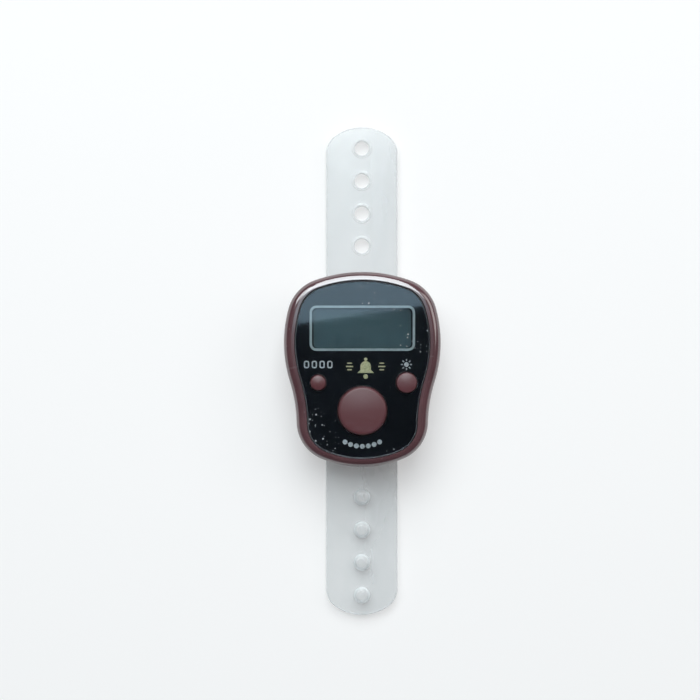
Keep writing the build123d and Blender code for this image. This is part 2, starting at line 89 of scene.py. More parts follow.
class Shader:
    def __init__(self, tree):
        self.tree = tree
        tree.nodes.clear()

    def node(self, kind, settings=None, sockets=None, out=0):
        made = self.tree.nodes.new("ShaderNode" + kind)
        for key, value in (settings or {}).items():
            setattr(made, key, value)
        for key, value in (sockets or {}).items():
            if isinstance(value, Wire):
                self.tree.links.new(value.out, made.inputs[key])
            else:
                made.inputs[key].default_value = value
        return Wire(self, made.outputs[out]) if made.outputs else made

    def calc(self, operation, *values):
        return self.node("Math", {"operation": operation}, dict(enumerate(values)))

    def coords(self, place=(0, 0, 0), turn=(0, 0, 0), stretch=(1, 1, 1)):
        source = self.node("TexCoord", out="Object")
        sockets = {"Vector": source, "Location": place, "Rotation": turn, "Scale": stretch}
        return self.node("Mapping", None, sockets)

    def axis(self, index):
        return self.node("SeparateXYZ", None, {0: self.coords()}, out=index)

    def reach(self, vector):
        return self.node("VectorMath", {"operation": "LENGTH"}, {0: vector}, out="Value")

    def noise(self, scale, detail=2.0, roughness=0.5, **way):
        sockets = {"Scale": scale, "Detail": detail, "Roughness": roughness}
        return self.node("TexNoise", None, {"Vector": self.coords(**way), **sockets})

    def cells(self, scale, randomness=1.0, out="Distance", space="3D"):
        sockets = {"Vector": self.coords(), "Scale": scale, "Randomness": randomness}
        return self.node("TexVoronoi", {"voronoi_dimensions": space}, sockets, out=out)

    def wave(self, value, perMetre):
        # 0 to 1 and back, so many times in a metre
        return self.calc("SINE", value * (perMetre * math.tau)) * 0.5 + 0.5

    def upright(self):
        # 1 on level faces and 0 on walls, whichever side is seen
        rise = self.node("SeparateXYZ", None, {0: self.node("NewGeometry", out="Normal")}, out=2)
        return rise * rise

    def fit(self, value, low, high, toLow=0.0, toHigh=1.0):
        sockets = {"Value": value, "From Min": low, "From Max": high, "To Min": toLow, "To Max": toHigh}
        return self.node("MapRange", None, sockets)

    def spread(self, noise, toLow=0.0, toHigh=1.0):
        return self.fit(noise, *noiseReach, toLow, toHigh)

    def mix(self, factor, first, second):
        # a Mix node keeps its colours in sockets 6 and 7
        return self.node("Mix", {"data_type": "RGBA"}, {0: factor, 6: first, 7: second}, out=2)

    def bump(self, height, depth, strength):
        return self.node("Bump", None, {"Height": height, "Distance": depth, "Strength": strength})

    def surface(self, **sockets):
        named = {words(key): value for key, value in sockets.items()}
        return self.node("BsdfPrincipled", None, named)


def words(key):
    # baseColor to Base Color, and ior to IOR
    spaced = "".join(" " + letter if letter.isupper() else letter for letter in key).title()
    return spaced.replace("Ior", "IOR")


def rgb(red, green, blue):
    # a screen colour made linear
    parts = [value / 255 for value in (red, green, blue)]
    linear = [p / 12.92 if p <= 0.04045 else ((p + 0.055) / 1.055) ** 2.4 for p in parts]
    return (*linear, 1.0)


def finish(name, build):
    material = bpy.data.materials.new(name)
    material.use_nodes = True
    shader = Shader(material.node_tree)
    shader.node("OutputMaterial", None, {"Surface": build(shader)})
    return material


# finishes that show from outside

caseLook = {
    "plum": rgb(92, 60, 63),
    "deep": rgb(80, 50, 53),
    "mottle": 190,
    "grain": 2400,
    "grainShare": 0.3,
    "scuff": 900,
    "scuffWay": {"turn": (0, 0, 0.5), "stretch": (0.12, 1, 1)},
    "wornFrom": 0.58,
    "wornTo": 0.72,
    "dust": rgb(168, 158, 156),
    "speck": 1000,
    "speckSize": 0.07,
    "speckPatch": 0.52,
    "speckCover": 0.6,
    "gloss": 0.2,
    "scuffed": 0.34,
    "satin": 0.1,
    "rimCoat": 1.0,
    "sideCoat": 0.25,
    "polishFrom": 1.1 * mm,
    "polishTo": 0.4 * mm,
}


def casePlastic(s):
    look = caseLook
    mottle = s.noise(look["mottle"], detail=4)
    grain = s.noise(look["grain"], detail=3)
    scuff = s.noise(look["scuff"], detail=5, roughness=0.6, **look["scuffWay"])
    worn = s.fit(scuff, look["wornFrom"], look["wornTo"])
    speck = (s.cells(look["speck"]) < look["speckSize"]) * (mottle > look["speckPatch"])
    colour = s.mix(s.spread(mottle), look["plum"], look["deep"])
    colour = s.mix(speck * look["speckCover"], colour, look["dust"])
    # satin sides below a polished rim
    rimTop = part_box("front_shell")[1].z
    polish = s.fit(s.axis(2), rimTop - look["polishFrom"], rimTop - look["polishTo"])
    share = look["grainShare"]
    rough = s.fit(worn + share * grain, 0, 1 + share, look["gloss"], look["scuffed"])
    return s.surface(
        baseColor=colour,
        roughness=rough + (1 - polish) * look["satin"],
        ior=1.45,
        coatWeight=s.fit(polish, 0, 1, look["sideCoat"], look["rimCoat"]),
        coatRoughness=0.08,
        coatIor=1.9,
        normal=s.bump(grain, depth=0.004 * mm, strength=0.35),
    )


buttonLook = {
    "plum": rgb(88, 49, 52),
    "worn": rgb(100, 68, 73),
    "grain": 3200,
    "smear": 420,
    "smearWay": {"turn": (0, 0, 0.9), "stretch": (0.3, 1, 1)},
    "rubFrom": 0.52,
    "rubTo": 0.75,
    "rubbed": 0.5,
    "gloss": 0.3,
    "matte": 0.42,
}


def buttonPlastic(s):
    look = buttonLook
    grain = s.noise(look["grain"])
    smear = s.noise(look["smear"], detail=4, roughness=0.6, **look["smearWay"])
    rubbed = s.fit(smear, look["rubFrom"], look["rubTo"], 0, look["rubbed"])
    return s.surface(
        baseColor=s.mix(rubbed, look["plum"], look["worn"]),
        roughness=s.spread(smear, look["gloss"], look["matte"]),
        ior=1.47,
        normal=s.bump(grain, depth=0.006 * mm, strength=0.5),
    )


lensLook = {
    "tint": (0.93, 0.96, 0.97, 1.0),
    # a blue tint painted onto the lens's reflections, standing in for a bluish sky light
    "paintedBlueReflex": (0.825, 0.88, 1.0, 1.0),
    "smear": 160,
    "smearWay": {"turn": (0, 0, -0.6), "stretch": (0.35, 1, 1)},
    "hazeFrom": 0.35,
    "hazeTo": 0.7,
    "clean": 0.015,
    "hazy": 0.045,
    "levelFrom": 0.8,
    # a dark tint on the chamfer and side walls: painted shade on the line round the face
    "paintedEdgeShade": (0.2, 0.21, 0.22, 1.0),
    "edge": 0.5,
    "frost": 0.12,
    "dust": rgb(196, 200, 204),
    "grit": {"scale": 850, "small": 0.03, "large": 0.12, "share": 0.3},
    "fine": {"scale": 1900, "small": 0.06, "large": 0.17, "share": 0.16},
    "grittyFrom": 0.6,
    "fineFrom": 0.68,
    "cover": 0.85,
    "fineCover": 0.6,
    "patch": 75,
    "drifts": [((-8.5, -9.5), 7.0), ((10.5, 5.5), 5.0), ((4.0, 14.0), 6.0), ((-6.0, -14.0), 4.0)],
    "gathered": 0.45,
}


def dustSpecks(s, scale, small, large, share):
    # round specks of several sizes, in a share of the cells
    chance = s.node("SeparateColor", None, {0: s.cells(scale, out="Color", space="2D")})
    size = s.fit(chance, 1 - share, 1.0, small, large)
    return (s.cells(scale, space="2D") < size) * (chance > 1 - share)


def dustDrifts(s):
    # where dust has gathered on the face plate
    gathered = s.noise(lensLook["patch"], detail=3)
    for (x, y), radius in lensLook["drifts"]:
        far = s.reach(s.coords(place=(-x * mm, -y * mm, 0), stretch=(1, 1, 0)))
        gathered = gathered + s.fit(far, 0, radius * mm, lensLook["gathered"], 0)
    return gathered


def clearLens(s):
    look = lensLook
    smear = s.noise(look["smear"], detail=4, roughness=0.6, **look["smearWay"])
    drifts = dustDrifts(s)
    grit = dustSpecks(s, **look["grit"]) * (drifts > look["grittyFrom"])
    fine = dustSpecks(s, **look["fine"]) * (drifts > look["fineFrom"])
    dusty = (grit + fine * look["fineCover"]) * look["cover"]
    flat = s.upright() > look["levelFrom"]
    polish = s.fit(smear, look["hazeFrom"], look["hazeTo"], look["clean"], look["hazy"])
    clear = s.surface(
        # chamfer and side walls tinted dark: painted shade round the face
        baseColor=s.mix(flat, look["paintedEdgeShade"], look["tint"]),
        roughness=flat * polish + (1 - flat) * look["edge"],
        ior=1.56,
        # painted blue tint on the reflections
        specularTint=look["paintedBlueReflex"],
        transmissionWeight=1.0,
    )
    dust = s.surface(baseColor=look["dust"], roughness=0.9)
    veil = dusty * flat + (1 - flat) * look["frost"]
    return s.node("MixShader", None, {0: veil, 1: clear, 2: dust})


filmLook = {
    "black": rgb(3, 4, 8),
    "bloom": rgb(7, 9, 15),
    "bloomFrom": 0.3,
    "bloomTo": 0.75,
    "cloud": 140,
    "pin": 2600,
    "shine": 0.06,
    "gloss": 0.3,
    "dull": 0.42,
}


def inkFilm(s):
    look = filmLook
    cloud = s.noise(look["cloud"], detail=4)
    pin = s.noise(look["pin"], detail=1)
    bloom = s.fit(cloud, look["bloomFrom"], look["bloomTo"])
    return s.surface(
        baseColor=s.mix(bloom, look["black"], look["bloom"]),
        roughness=s.spread(cloud, look["gloss"], look["dull"]),
        specularIorLevel=look["shine"],
        normal=s.bump(pin, depth=0.003 * mm, strength=0.4),
    )


inkLook = {"mesh": 3000, "coverFrom": 0.3, "coverTo": 0.62, "patch": 500, "gloss": 0.45, "dull": 0.65}


def printedInk(pale, thin):
    def build(s):
        look = inkLook
        cover = s.fit(s.noise(look["mesh"]), look["coverFrom"], look["coverTo"])
        return s.surface(
            baseColor=s.mix(cover, thin, pale),
            roughness=s.spread(s.noise(look["patch"]), look["gloss"], look["dull"]),
            normal=s.bump(cover, depth=0.004 * mm, strength=0.4),
        )

    return build


strapLook = {
    "clear": (0.72, 0.735, 0.735, 1.0),
    "haze": (0.62, 0.64, 0.645, 1.0),
    # a whiter colour on the walls and rounded edges: a painted edge highlight
    "edge": (0.93, 0.95, 0.955, 1.0),
    "edgeFrom": 0.3,
    "edgeTo": 0.9,
    "thin": 0.28,
    "cloudy": 0.38,
    "thickEdge": 0.34,
    "flow": 70,
    "flowWay": {"stretch": (1, 0.35, 1)},
    "ripple": 240,
    "rippleWay": {"stretch": (1, 0.5, 1)},
    "rippleShare": 0.4,
    "frostFrom": 0.4,
    "frostTo": 1.0,
    "smooth": 0.16,
    "frosted": 0.3,
}


def strapPlastic(s):
    look = strapLook
    flow = s.noise(look["flow"], detail=4, roughness=0.55, **look["flowWay"])
    ripple = s.noise(look["ripple"], **look["rippleWay"])
    cloud = s.spread(flow)
    body = s.mix(cloud, look["clear"], look["haze"])
    # walls and rounded edges: the whiter colour there is a painted edge highlight, the added opacity is
    # the greater depth of plastic seen edge-on
    edge = 1 - s.fit(s.upright(), look["edgeFrom"], look["edgeTo"])
    frost = flow + look["rippleShare"] * ripple
    return s.surface(
        baseColor=s.mix(edge, body, look["edge"]),
        roughness=s.fit(frost, look["frostFrom"], look["frostTo"], look["smooth"], look["frosted"]),
        ior=1.5,
        coatWeight=0.5,
        coatRoughness=0.1,
        alpha=s.fit(cloud, 0, 1, look["thin"], look["cloudy"]) + edge * look["thickEdge"],
        normal=s.bump(ripple, depth=0.03 * mm, strength=0.25),
    )


screwLook = {
    "bright": rgb(176, 176, 178),
    "dull": rgb(118, 118, 122),
    "turned": 5200,
    "stain": 700,
    "gloss": 0.24,
    "rough": 0.42,
}
steelLook = {
    "bright": rgb(196, 194, 188),
    "dull": rgb(150, 148, 144),
    "turned": 4200,
    "stain": 520,
    "gloss": 0.2,
    "rough": 0.36,
}
cellLook = {
    "bright": rgb(192, 192, 194),
    "dull": rgb(152, 152, 156),
    "turned": 3800,
    "stain": 360,
    "gloss": 0.18,
    "rough": 0.32,
}
brassLook = {
    "bright": rgb(196, 158, 84),
    "dull": rgb(160, 122, 62),
    "turned": 3600,
    "stain": 420,
    "gloss": 0.26,
    "rough": 0.42,
}


def plated(look):
    def build(s):
        lines = s.noise(look["turned"], detail=3, stretch=(1, 0.15, 1))
        stain = s.noise(look["stain"], detail=4, roughness=0.6)
        return s.surface(
            baseColor=s.mix(s.fit(stain, *stainReach), look["bright"], look["dull"]),
            metallic=1.0,
            roughness=s.spread(lines * 0.5 + stain * 0.5, look["gloss"], look["rough"]),
            normal=s.bump(lines, depth=0.003 * mm, strength=0.35),
        )

    return build


# finishes behind the face and inside the case

panelLook = {
    "olive": rgb(66, 90, 97),
    "shade": rgb(59, 82, 89),
    "toneFrom": 0.4,
    "toneTo": 0.75,
    "cloud": 110,
    "brush": 5200,
    "brushWay": {"turn": (0, 0, 0.785), "stretch": (0.3, 1, 1)},
    "brushShare": 0.15,
    "shine": 0.25,
    "gloss": 0.3,
    "dull": 0.36,
}


def displayFilm(s):
    look = panelLook
    cloud = s.noise(look["cloud"], detail=3)
    brush = s.noise(look["brush"], **look["brushWay"])
    tone = s.fit(cloud + look["brushShare"] * brush, look["toneFrom"], look["toneTo"])
    return s.surface(
        baseColor=s.mix(tone, look["olive"], look["shade"]),
        roughness=s.spread(cloud, look["gloss"], look["dull"]),
        specularIorLevel=look["shine"],
    )


glassLook = {"tint": (0.9, 0.95, 0.93, 1.0), "smear": 300, "clean": 0.01, "hazy": 0.06}


def thinGlass(s):
    look = glassLook
    smear = s.noise(look["smear"], detail=4)
    return s.surface(
        baseColor=look["tint"],
        roughness=s.spread(smear, look["clean"], look["hazy"]),
        ior=1.52,
        transmissionWeight=1.0,
    )


guideLook = {
    "clear": (0.93, 0.95, 0.97, 1.0),
    "etched": (0.8, 0.82, 0.85, 1.0),
    "dots": 1600,
    "dotSize": 0.25,
    "smooth": 0.06,
    "rough": 0.5,
}


def guideAcrylic(s):
    look = guideLook
    dots = s.cells(look["dots"], randomness=0.0) < look["dotSize"]
    return s.surface(
        baseColor=s.mix(dots, look["clear"], look["etched"]),
        roughness=s.fit(dots, 0, 1, look["smooth"], look["rough"]),
        ior=1.49,
        transmissionWeight=0.9,
    )


def moulded(pale, shade, gloss=0.38, rough=0.55, grainScale=2600, mottleScale=300):
    def build(s):
        grain = s.noise(grainScale, detail=3)
        mottle = s.noise(mottleScale, detail=4)
        return s.surface(
            baseColor=s.mix(s.spread(mottle), pale, shade),
            roughness=s.spread(mottle, gloss, rough),
            normal=s.bump(grain, depth=0.005 * mm, strength=0.4),
        )

    return build


boardLook = {
    "mask": rgb(22, 84, 46),
    "track": rgb(46, 122, 68),
    "pitch": 420,
    "jumble": 0.9,
    "lanes": 1100,
    "laneFrom": 0.62,
    "weave": 1500,
    "weaveShare": 0.2,
    "gloss": 0.3,
    "dull": 0.42,
}


def boardLaminate(s):
    # tracks that run one way or the other in each patch, over a woven base
    look = boardLook
    x, y = s.axis(0), s.axis(1)
    patch = s.cells(look["pitch"], randomness=look["jumble"], out="Color")
    across = s.node("SeparateColor", None, {0: patch}) > 0.5
    lanes = s.wave(x, look["lanes"]) * across + s.wave(y, look["lanes"]) * (1 - across)
    track = lanes > look["laneFrom"]
    weave = s.wave(x, look["weave"]) * s.wave(y, look["weave"])
    relief = track * (1 - look["weaveShare"]) + weave * look["weaveShare"]
    return s.surface(
        baseColor=s.mix(track, look["mask"], look["track"]),
        roughness=s.fit(weave, 0, 1, look["gloss"], look["dull"]),
        normal=s.bump(relief, depth=0.012 * mm, strength=0.5),
    )


chipLook = {
    "body": rgb(58, 46, 40),
    "shade": rgb(40, 33, 30),
    "tin": rgb(190, 190, 192),
    "endFrom": 0.32,
    "grain": 4200,
    "gloss": 0.32,
    "dull": 0.5,
}


def chipBodies(s):
    # tinned ends on dark bodies
    look = chipLook
    low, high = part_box("board_components")
    offset = s.calc("ABSOLUTE", s.axis(1) - (low.y + high.y) / 2)
    end = offset > (high.y - low.y) * look["endFrom"]
    grain = s.noise(look["grain"], detail=3)
    body = s.mix(s.spread(grain), look["body"], look["shade"])
    return s.surface(
        baseColor=s.mix(end, body, look["tin"]),
        metallic=end,
        roughness=s.spread(grain, look["gloss"], look["dull"]),
    )


zebraLook = {
    "pink": rgb(206, 138, 142),
    "carbon": rgb(38, 36, 38),
    "bands": 5200,
    "grain": 3000,
    "gloss": 0.6,
    "dull": 0.8,
}


def zebraRubber(s):
    look = zebraLook
    bands = s.wave(s.axis(0), look["bands"]) > 0.5
    return s.surface(
        baseColor=s.mix(bands, look["pink"], look["carbon"]),
        roughness=s.spread(s.noise(look["grain"]), look["gloss"], look["dull"]),
    )


discLook = {
    "pale": rgb(214, 210, 196),
    "stained": rgb(188, 184, 172),
    "grain": 2600,
    "stain": 380,
    "gloss": 0.4,
    "dull": 0.6,
}


def ceramicDisc(s):
    look = discLook
    grain = s.noise(look["grain"], detail=4)
    stain = s.fit(s.noise(look["stain"], detail=4), *stainReach)
    return s.surface(
        baseColor=s.mix(stain, look["pale"], look["stained"]),
        roughness=s.spread(grain, look["gloss"], look["dull"]),
        normal=s.bump(grain, depth=0.004 * mm, strength=0.5),
    )


finishes = {
    "casePlastic": casePlastic,
    "buttonPlastic": buttonPlastic,
    "clearLens": clearLens,
    "inkFilm": inkFilm,
    "paleInk": printedInk(rgb(206, 212, 216), rgb(164, 172, 178)),
    "borderInk": printedInk(rgb(168, 183, 188), rgb(143, 158, 163)),
    "goldInk": printedInk(rgb(206, 202, 158), rgb(168, 164, 124)),
    "strapPlastic": strapPlastic,
    "screwSteel": plated(screwLook),
    "displayFilm": displayFilm,
    "thinGlass": thinGlass,
    "guideAcrylic": guideAcrylic,
    "frameWhite": moulded(rgb(226, 226, 222), rgb(206, 206, 200)),
    "lampResin": moulded(rgb(226, 206, 118), rgb(206, 184, 92), gloss=0.18, rough=0.3),
    "zebraRubber": zebraRubber,
    "boardLaminate": boardLaminate,
    "potting": moulded(
        rgb(18, 18, 19), rgb(30, 30, 32), gloss=0.14, rough=0.28, grainScale=1800, mottleScale=500
    ),
    "chipBodies": chipBodies,
    "switchBlack": moulded(rgb(30, 30, 32), rgb(42, 42, 45)),
    "springSteel": plated(steelLook),
    "cellSteel": plated(cellLook),
    "brassSheet": plated(brassLook),
    "ceramicDisc": ceramicDisc,
    "leadSheath": moulded(rgb(164, 34, 32), rgb(140, 26, 26), gloss=0.4, rough=0.55),
}
made = {name: finish(name, build) for name, build in finishes.items()}
print("finishes made:", len(made))


def each(kind):
    return [key + "_" + kind for key in keys]


nodeFinish = {
    "casePlastic": ["front_shell", "rear_cover"],
    "buttonPlastic": each("button"),
    "clearLens": ["face_lens"],
    "inkFilm": ["face_print"],
    "strapPlastic": ["strap"],
    "screwSteel": ["case_screws", "board_screws"],
    "displayFilm": ["lcd_front_polariser", "lcd_rear_polariser"],
    "thinGlass": ["lcd_front_glass", "lcd_rear_glass"],
    "guideAcrylic": ["light_guide"],
    "frameWhite": ["display_frame"],
    "lampResin": ["backlight_leds"],
    "zebraRubber": ["zebra_connector"],
    "boardLaminate": ["circuit_board"],
    "potting": ["controller_chip"],
    "chipBodies": ["board_components"],
    "switchBlack": each("switch") + each("plunger"),
    "springSteel": each("dome") + ["positive_contact", "negative_contact"],
    "cellSteel": ["battery_left", "battery_right", "battery_link"],
    "brassSheet": ["buzzer_plate"],
    "ceramicDisc": ["buzzer_ceramic"],
    "leadSheath": ["buzzer_leads"],
}
for finishName, names in nodeFinish.items():
    for name in names:
        slots = nodes[name].data.materials
        slots.clear()
        slots.append(made[finishName])
print("frame nodes finished:", sum(len(names) for names in nodeFinish.values()))


# mesh helpers, all in millimetres until a piece is finished

meshForm = {"weld": 1e-5, "seam": 1e-4, "sharp": 40}


def boxOf(node):
    return [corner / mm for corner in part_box(node)]


def middle(node):
    low, high = boxOf(node)
    return (low + high) / 2


def inOrder(items):
    # each item once, in the order that it came
    return list(dict.fromkeys(items))


def vertsIn(items):
    return [item for item in items if isinstance(item, bmesh.types.BMVert)]


def edgesOf(verts):
    return inOrder(edge for vert in verts for edge in vert.link_edges)


def circleLoop(bm, radius, place, height, steps):
    spot = Matrix.Translation((place[0], place[1], height))
    loop = bmesh.ops.create_circle(bm, cap_ends=False, radius=radius, segments=steps, matrix=spot)
    return edgesOf(loop["verts"])


def lineOn(bm, vert, move):
    end = bmesh.ops.extrude_vert_indiv(bm, verts=[vert])["verts"][0]
    end.co = vert.co + Vector(move)
    return end


def arcOn(bm, vert, centre, angle, steps):
    turned = bmesh.ops.spin(bm, geom=[vert], cent=centre, axis=(0, 0, 1), angle=angle, steps=steps)
    return vertsIn(turned["geom_last"])[0]


def mirrored(bm, verts, axes):
    # a quarter or a half outline made whole, with its seams merged
    for axis in axes:
        geom = verts + edgesOf(verts)
        copy = bmesh.ops.mirror(bm, geom=geom, merge_dist=meshForm["seam"], axis=axis)["geom"]
        verts = [vert for vert in inOrder(verts + vertsIn(copy)) if vert.is_valid]
    return edgesOf(verts)


def bridged(bm, loops):
    for low, high in zip(loops, loops[1:]):
        bmesh.ops.bridge_loops(bm, edges=low + high)


def ringWall(bm, outline, place, steps):
    # rings at (radius, height) pairs, joined into a wall
    rings = [circleLoop(bm, radius, place, height, steps) for radius, height in outline]
    bridged(bm, rings)
    return rings


def filled(bm, edges):
    bmesh.ops.triangle_fill(bm, edges=edges, use_beauty=True)


def quarterRound(steps):
    return [math.pi / 2 * step / steps for step in range(steps + 1)]


def piece(name, bm, finishName, body):
    bmesh.ops.remove_doubles(bm, verts=bm.verts[:], dist=meshForm["weld"])
    bmesh.ops.recalc_face_normals(bm, faces=bm.faces[:])
    bmesh.ops.scale(bm, verts=bm.verts[:], vec=(mm, mm, mm))
    sharp = math.radians(meshForm["sharp"])
    for face in bm.faces:
        face.smooth = True
    for edge in bm.edges:
        edge.smooth = len(edge.link_faces) == 2 and edge.calc_face_angle() < sharp
    mesh = bpy.data.meshes.new(name)
    bm.to_mesh(mesh)
    bm.free()
    mesh.materials.append(made[finishName])
    obj = bpy.data.objects.new(name, mesh)
    bpy.context.scene.collection.objects.link(obj)
    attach(obj, body)
    return obj


# strap: one soft moulding with lipped holes at one end and domed studs at the other

strapForm = {
    "thickness": 1.0,
    "endRadius": 8.5,
    "cornerRadius": 4.0,
    "edgeRound": 0.32,
    "roundSteps": 5,
    "cornerSteps": 14,
    "endSteps": 16,
    "holeRadius": 1.35,
    "lipWidth": 0.55,
    "lipHeight": 0.12,  # low enough to pass under the case as the strap is drawn through
    "lipRound": 0.22,
    "studNeck": 1.15,
    "studHead": 1.55,
    "headBrim": 0.3,
    "neckHeight": 1.0,
    "neckFoot": 0.25,
    "pitch": 6.1,
    "endMargin": 4.0,
    "fastenings": 4,
    "ringSteps": 48,
}


def strapLoop(bm, inset, height):
    low, high = boxOf("strap")
    half = (high.x - low.x) / 2
    endY = (high.y - low.y) / 2 - strapForm["endRadius"]
    reach = strapForm["endRadius"] - strapForm["cornerRadius"]
    cornerX = half - strapForm["cornerRadius"]
    rise = math.sqrt(reach**2 - cornerX**2)
    turn = math.atan2(rise, cornerX)
    before = set(bm.verts)
    start = bm.verts.new((half - inset, 0, height))
    sideEnd = lineOn(bm, start, (0, endY + rise, 0))
    join = arcOn(bm, sideEnd, (cornerX, endY + rise, height), turn, strapForm["cornerSteps"])
    arcOn(bm, join, (0, endY, height), math.pi / 2 - turn, strapForm["endSteps"])
    quarter = [vert for vert in bm.verts if vert not in before]
    return mirrored(bm, quarter, "XY")


def roundedWall(low, high, size, steps):
    # (inset, height) pairs up a wall with a quarter round at its foot and its top
    foot = [(size * (1 - math.sin(a)), low + size * (1 - math.cos(a))) for a in quarterRound(steps)]
    top = [(size * (1 - math.cos(a)), high - size * (1 - math.sin(a))) for a in quarterRound(steps)]
    return foot + top


def fasteningPlaces():
    low, high = boxOf("strap")
    end = (high.y - low.y) / 2 - strapForm["endMargin"]
    return [end - index * strapForm["pitch"] for index in range(strapForm["fastenings"])]


def lippedHole(bm, y, low, high):
    form = strapForm
    lip, soft, steps = form["lipHeight"], form["lipRound"], form["roundSteps"]
    wall = roundedWall(low, high + lip, soft, steps)
    outline = [(form["holeRadius"] + inset, height) for inset, height in wall]
    brim = form["holeRadius"] + form["lipWidth"] - soft
    outline += [(brim + soft * math.sin(a), high + lip * math.cos(a)) for a in quarterRound(steps)[1:]]
    rings = ringWall(bm, outline, (0, y), form["ringSteps"])
    return rings[0], rings[-1]


def domedStud(bm, y, high):
    form = strapForm
    top = boxOf("strap")[1].z
    headLow = high + form["neckHeight"]
    foot, neck, head = form["neckFoot"], form["studNeck"], form["studHead"]
    brim = (top - headLow) * form["headBrim"]
    turns = quarterRound(form["roundSteps"])
    outline = [(neck + foot * (1 - math.sin(a)), high + foot * (1 - math.cos(a))) for a in turns]
    outline.append((neck, headLow - foot / 2))
    outline += [(head - brim * (1 - math.sin(a)), headLow + brim * (1 - math.cos(a))) for a in turns]
    domeLow = headLow + brim
    for a in quarterRound(2 * form["roundSteps"])[1:-1]:
        outline.append((head * math.cos(a), domeLow + (top - domeLow) * math.sin(a)))
    rings = ringWall(bm, outline, (0, y), form["ringSteps"])
    filled(bm, rings[-1])
    return rings[0]


def strapBand():
    bm = bmesh.new()
    low = boxOf("strap")[0].z
    high = low + strapForm["thickness"]
    wall = roundedWall(low, high, strapForm["edgeRound"], strapForm["roundSteps"])
    sides = [strapLoop(bm, inset, height) for inset, height in wall]
    bridged(bm, sides)
    bottom, top = list(sides[0]), list(sides[-1])
    for y in fasteningPlaces():
        underRing, overRing = lippedHole(bm, y, low, high)
        bottom += underRing
        top += overRing
        top += domedStud(bm, -y, high)
    filled(bm, bottom)
    filled(bm, top)
    bmesh.ops.translate(bm, verts=bm.verts[:], vec=(0, middle("strap").y, 0))
    band = piece("strap_band", bm, "strapPlastic", "strap")
    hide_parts("strap")


strapBand()
print("strap made")


# switch domes: thin sprung dishes under the buttons

domeForm = {"sheet": 0.08, "crest": 0.5, "bendSteps": 8, "ringSteps": 48}


def domeRings(radius, low, high):
    # (radius, height) pairs from the flat crest down a smooth bend to the rim
    form = domeForm
    rings = []
    for step in range(form["bendSteps"] + 1):
        share = step / form["bendSteps"]
        height = low + (high - low) * (1 + math.cos(math.pi * share)) / 2
        rings.append((form["crest"] + (radius - form["crest"]) * share, height))
    return rings


def switchDome(key):
    bm = bmesh.new()
    node = key + "_dome"
    low, high = boxOf(node)
    centre = middle(node)
    radius, sheet = (high.x - low.x) / 2, domeForm["sheet"]
    over = domeRings(radius, low.z + sheet, high.z)
    under = domeRings(radius, low.z, high.z - sheet)
    rings = ringWall(bm, over + under[::-1], centre, domeForm["ringSteps"])
    filled(bm, rings[0])
    filled(bm, rings[-1])
    dome = piece(key + "_spring_dome", bm, "springSteel", "case")
    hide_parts(node)
    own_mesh(dome)


for key in keys:
    switchDome(key)
print("switch domes made")


# printed marks between the film and the face plate

inkForm = {"lift": 0.006, "thickness": 0.014, "dotSteps": 24}
inkLow = boxOf("face_print")[1].z + inkForm["lift"]


def printed(name, bm, finishName):
    # flat marks given the thickness of a print
    region = bmesh.ops.extrude_face_region(bm, geom=bm.faces[:])["geom"]
    bmesh.ops.translate(bm, verts=vertsIn(region), vec=(0, 0, inkForm["thickness"]))
    piece(name, bm, finishName, "case")


def boxLoop(bm, place, width, length, corner, steps):
    before = set(bm.verts)
    start = bm.verts.new((width / 2, 0, inkLow))
    side = lineOn(bm, start, (0, length / 2 - corner, 0))
    bend = arcOn(bm, side, (width / 2 - corner, length / 2 - corner, inkLow), math.pi / 2, steps)
    lineOn(bm, bend, (corner - width / 2, 0, 0))
    edges = mirrored(bm, [vert for vert in bm.verts if vert not in before], "XY")
    verts = inOrder(vert for edge in edges for vert in edge.verts)
    bmesh.ops.translate(bm, verts=verts, vec=(place[0], place[1], 0))
    return edges


def boxRing(bm, place, width, length, corner, line, steps):
    outer = boxLoop(bm, place, width, length, corner, steps)
    face = bmesh.ops.contextual_create(bm, geom=outer)["faces"][0]
    bmesh.ops.inset_individual(bm, faces=[face], thickness=line, use_even_offset=True)
    bmesh.ops.delete(bm, geom=[face], context="FACES_ONLY")


def dot(bm, radius, place):
    filled(bm, circleLoop(bm, radius, place, inkLow, inkForm["dotSteps"]))


def bar(bm, width, length, turn, place):
    # a unit square, stretched and turned
    spot = Matrix.Translation((place[0], place[1], inkLow)) @ Matrix.Rotation(turn, 4, "Z")
    size = Matrix.Diagonal((width, length, 1, 1))
    bmesh.ops.create_grid(bm, x_segments=1, y_segments=1, size=0.5, matrix=spot @ size)


borderForm = {
    "rise": 0.09,  # its lower line stands nearer to the window than its upper one
    "box": {"width": 19.0, "length": 8.17, "corner": 1.25, "line": 0.44, "steps": 8},
}


def windowBorder():
    bm = bmesh.new()
    window = middle("lcd_front_polariser")
    boxRing(bm, (window.x, window.y + borderForm["rise"]), **borderForm["box"])
    printed("window_border", bm, "borderInk")


zeroForm = {
    "count": 4,
    "pitch": 1.4,
    "above": 3.25,
    "box": {"width": 0.95, "length": 1.34, "corner": 0.36, "line": 0.22, "steps": 5},
}


def zeroMarks():
    bm = bmesh.new()
    form = zeroForm
    button = middle("reset_button")
    first = button.x - form["pitch"] * (form["count"] - 1) / 2
    for index in range(form["count"]):
        place = (first + index * form["pitch"], button.y + form["above"])
        boxRing(bm, place, **form["box"])
    printed("zero_marks", bm, "paleInk")


sunForm = {"above": 3.25, "core": 0.42, "rays": 8, "rayWidth": 0.19, "rayLength": 0.36, "rayReach": 0.82}


